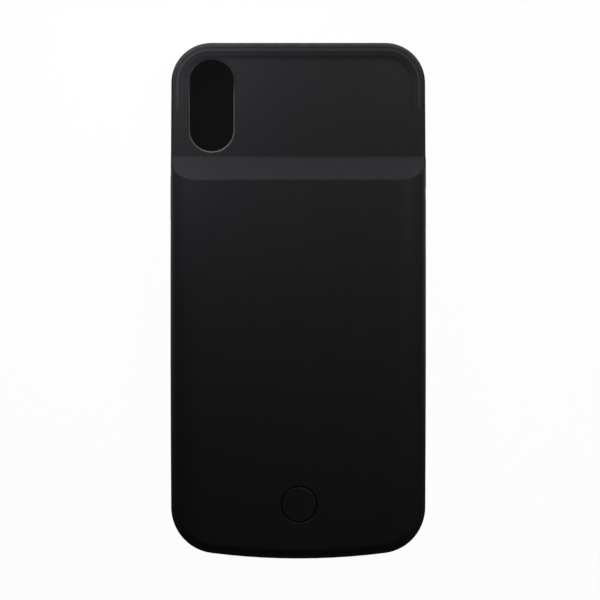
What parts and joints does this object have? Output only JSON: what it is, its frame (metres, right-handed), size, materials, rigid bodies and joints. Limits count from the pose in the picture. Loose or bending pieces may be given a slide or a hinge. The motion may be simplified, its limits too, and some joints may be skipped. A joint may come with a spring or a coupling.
{
  "type": "battery charging case",
  "caption": "Slim rectangular back case with a device pocket, oblong window in the thin top, ramp up to a battery hump, round push button, plug inside and charging socket in the chin.",
  "frame": {"origin": "middle of the footprint, on the plane of the front rim the case lies on", "axes": "+Z from the open front to the back of the hump, +Y from the chin to the window end, +X to the right as seen from the back"},
  "size_m": [0.0802, 0.1614, 0.0161],
  "materials": {
    "soft_shell": "soft-touch matt, very fine grain",
    "hard_cover": "moulded matt",
    "button_cap": "soft-touch matt",
    "pale_plastic": "moulded",
    "switch_body": "moulded",
    "board_green": "solder mask",
    "steel": "satin",
    "ferrite": "matt sintered",
    "chip_black": "moulded epoxy",
    "capacitor_tan": "glazed ends",
    "lamp_white": "clear dome",
    "socket_black": "moulded",
    "gold": "plated",
    "cell_foil": "pouch foil",
    "nickel": "strip",
    "lead_red": "insulation",
    "lead_black": "insulation",
    "tape_yellow": "double-sided tape",
    "foam_grey": "open-cell foam"
  },
  "bodies": {
    "case": {"outer_shell": "soft_shell", "inner_cover": "hard_cover", "tact_switch": "switch_body", "main_board": "board_green", "board_screws": "steel", "power_inductor": "ferrite", "charger_chip": "chip_black", "boost_chip": "chip_black", "controller_chip": "chip_black", "capacitors": "capacitor_tan", "indicator_lights": "lamp_white", "charge_socket": "steel", "socket_tongue": "socket_black", "socket_contacts": "gold", "plug_base": "socket_black", "plug_tongue": "steel", "plug_contacts": "gold", "plug_board": "board_green", "battery_cell": "cell_foil", "cell_tabs": "nickel", "protection_board": "board_green", "protection_chips": "chip_black", "red_lead": "lead_red", "black_lead": "lead_black", "adhesive_strips": "tape_yellow", "foam_pad": "foam_grey"},
    "button": {"power_button": "button_cap", "switch_plunger": "pale_plastic"}
  },
  "joints": [
    {"name": "button_press", "type": "slide", "parent": "case", "child": "button", "axis": [0, 0, -1], "range_m": [0, 0.0003], "stiffness_N_per_m": 2000, "springref_m": -0.0005}
  ]
}
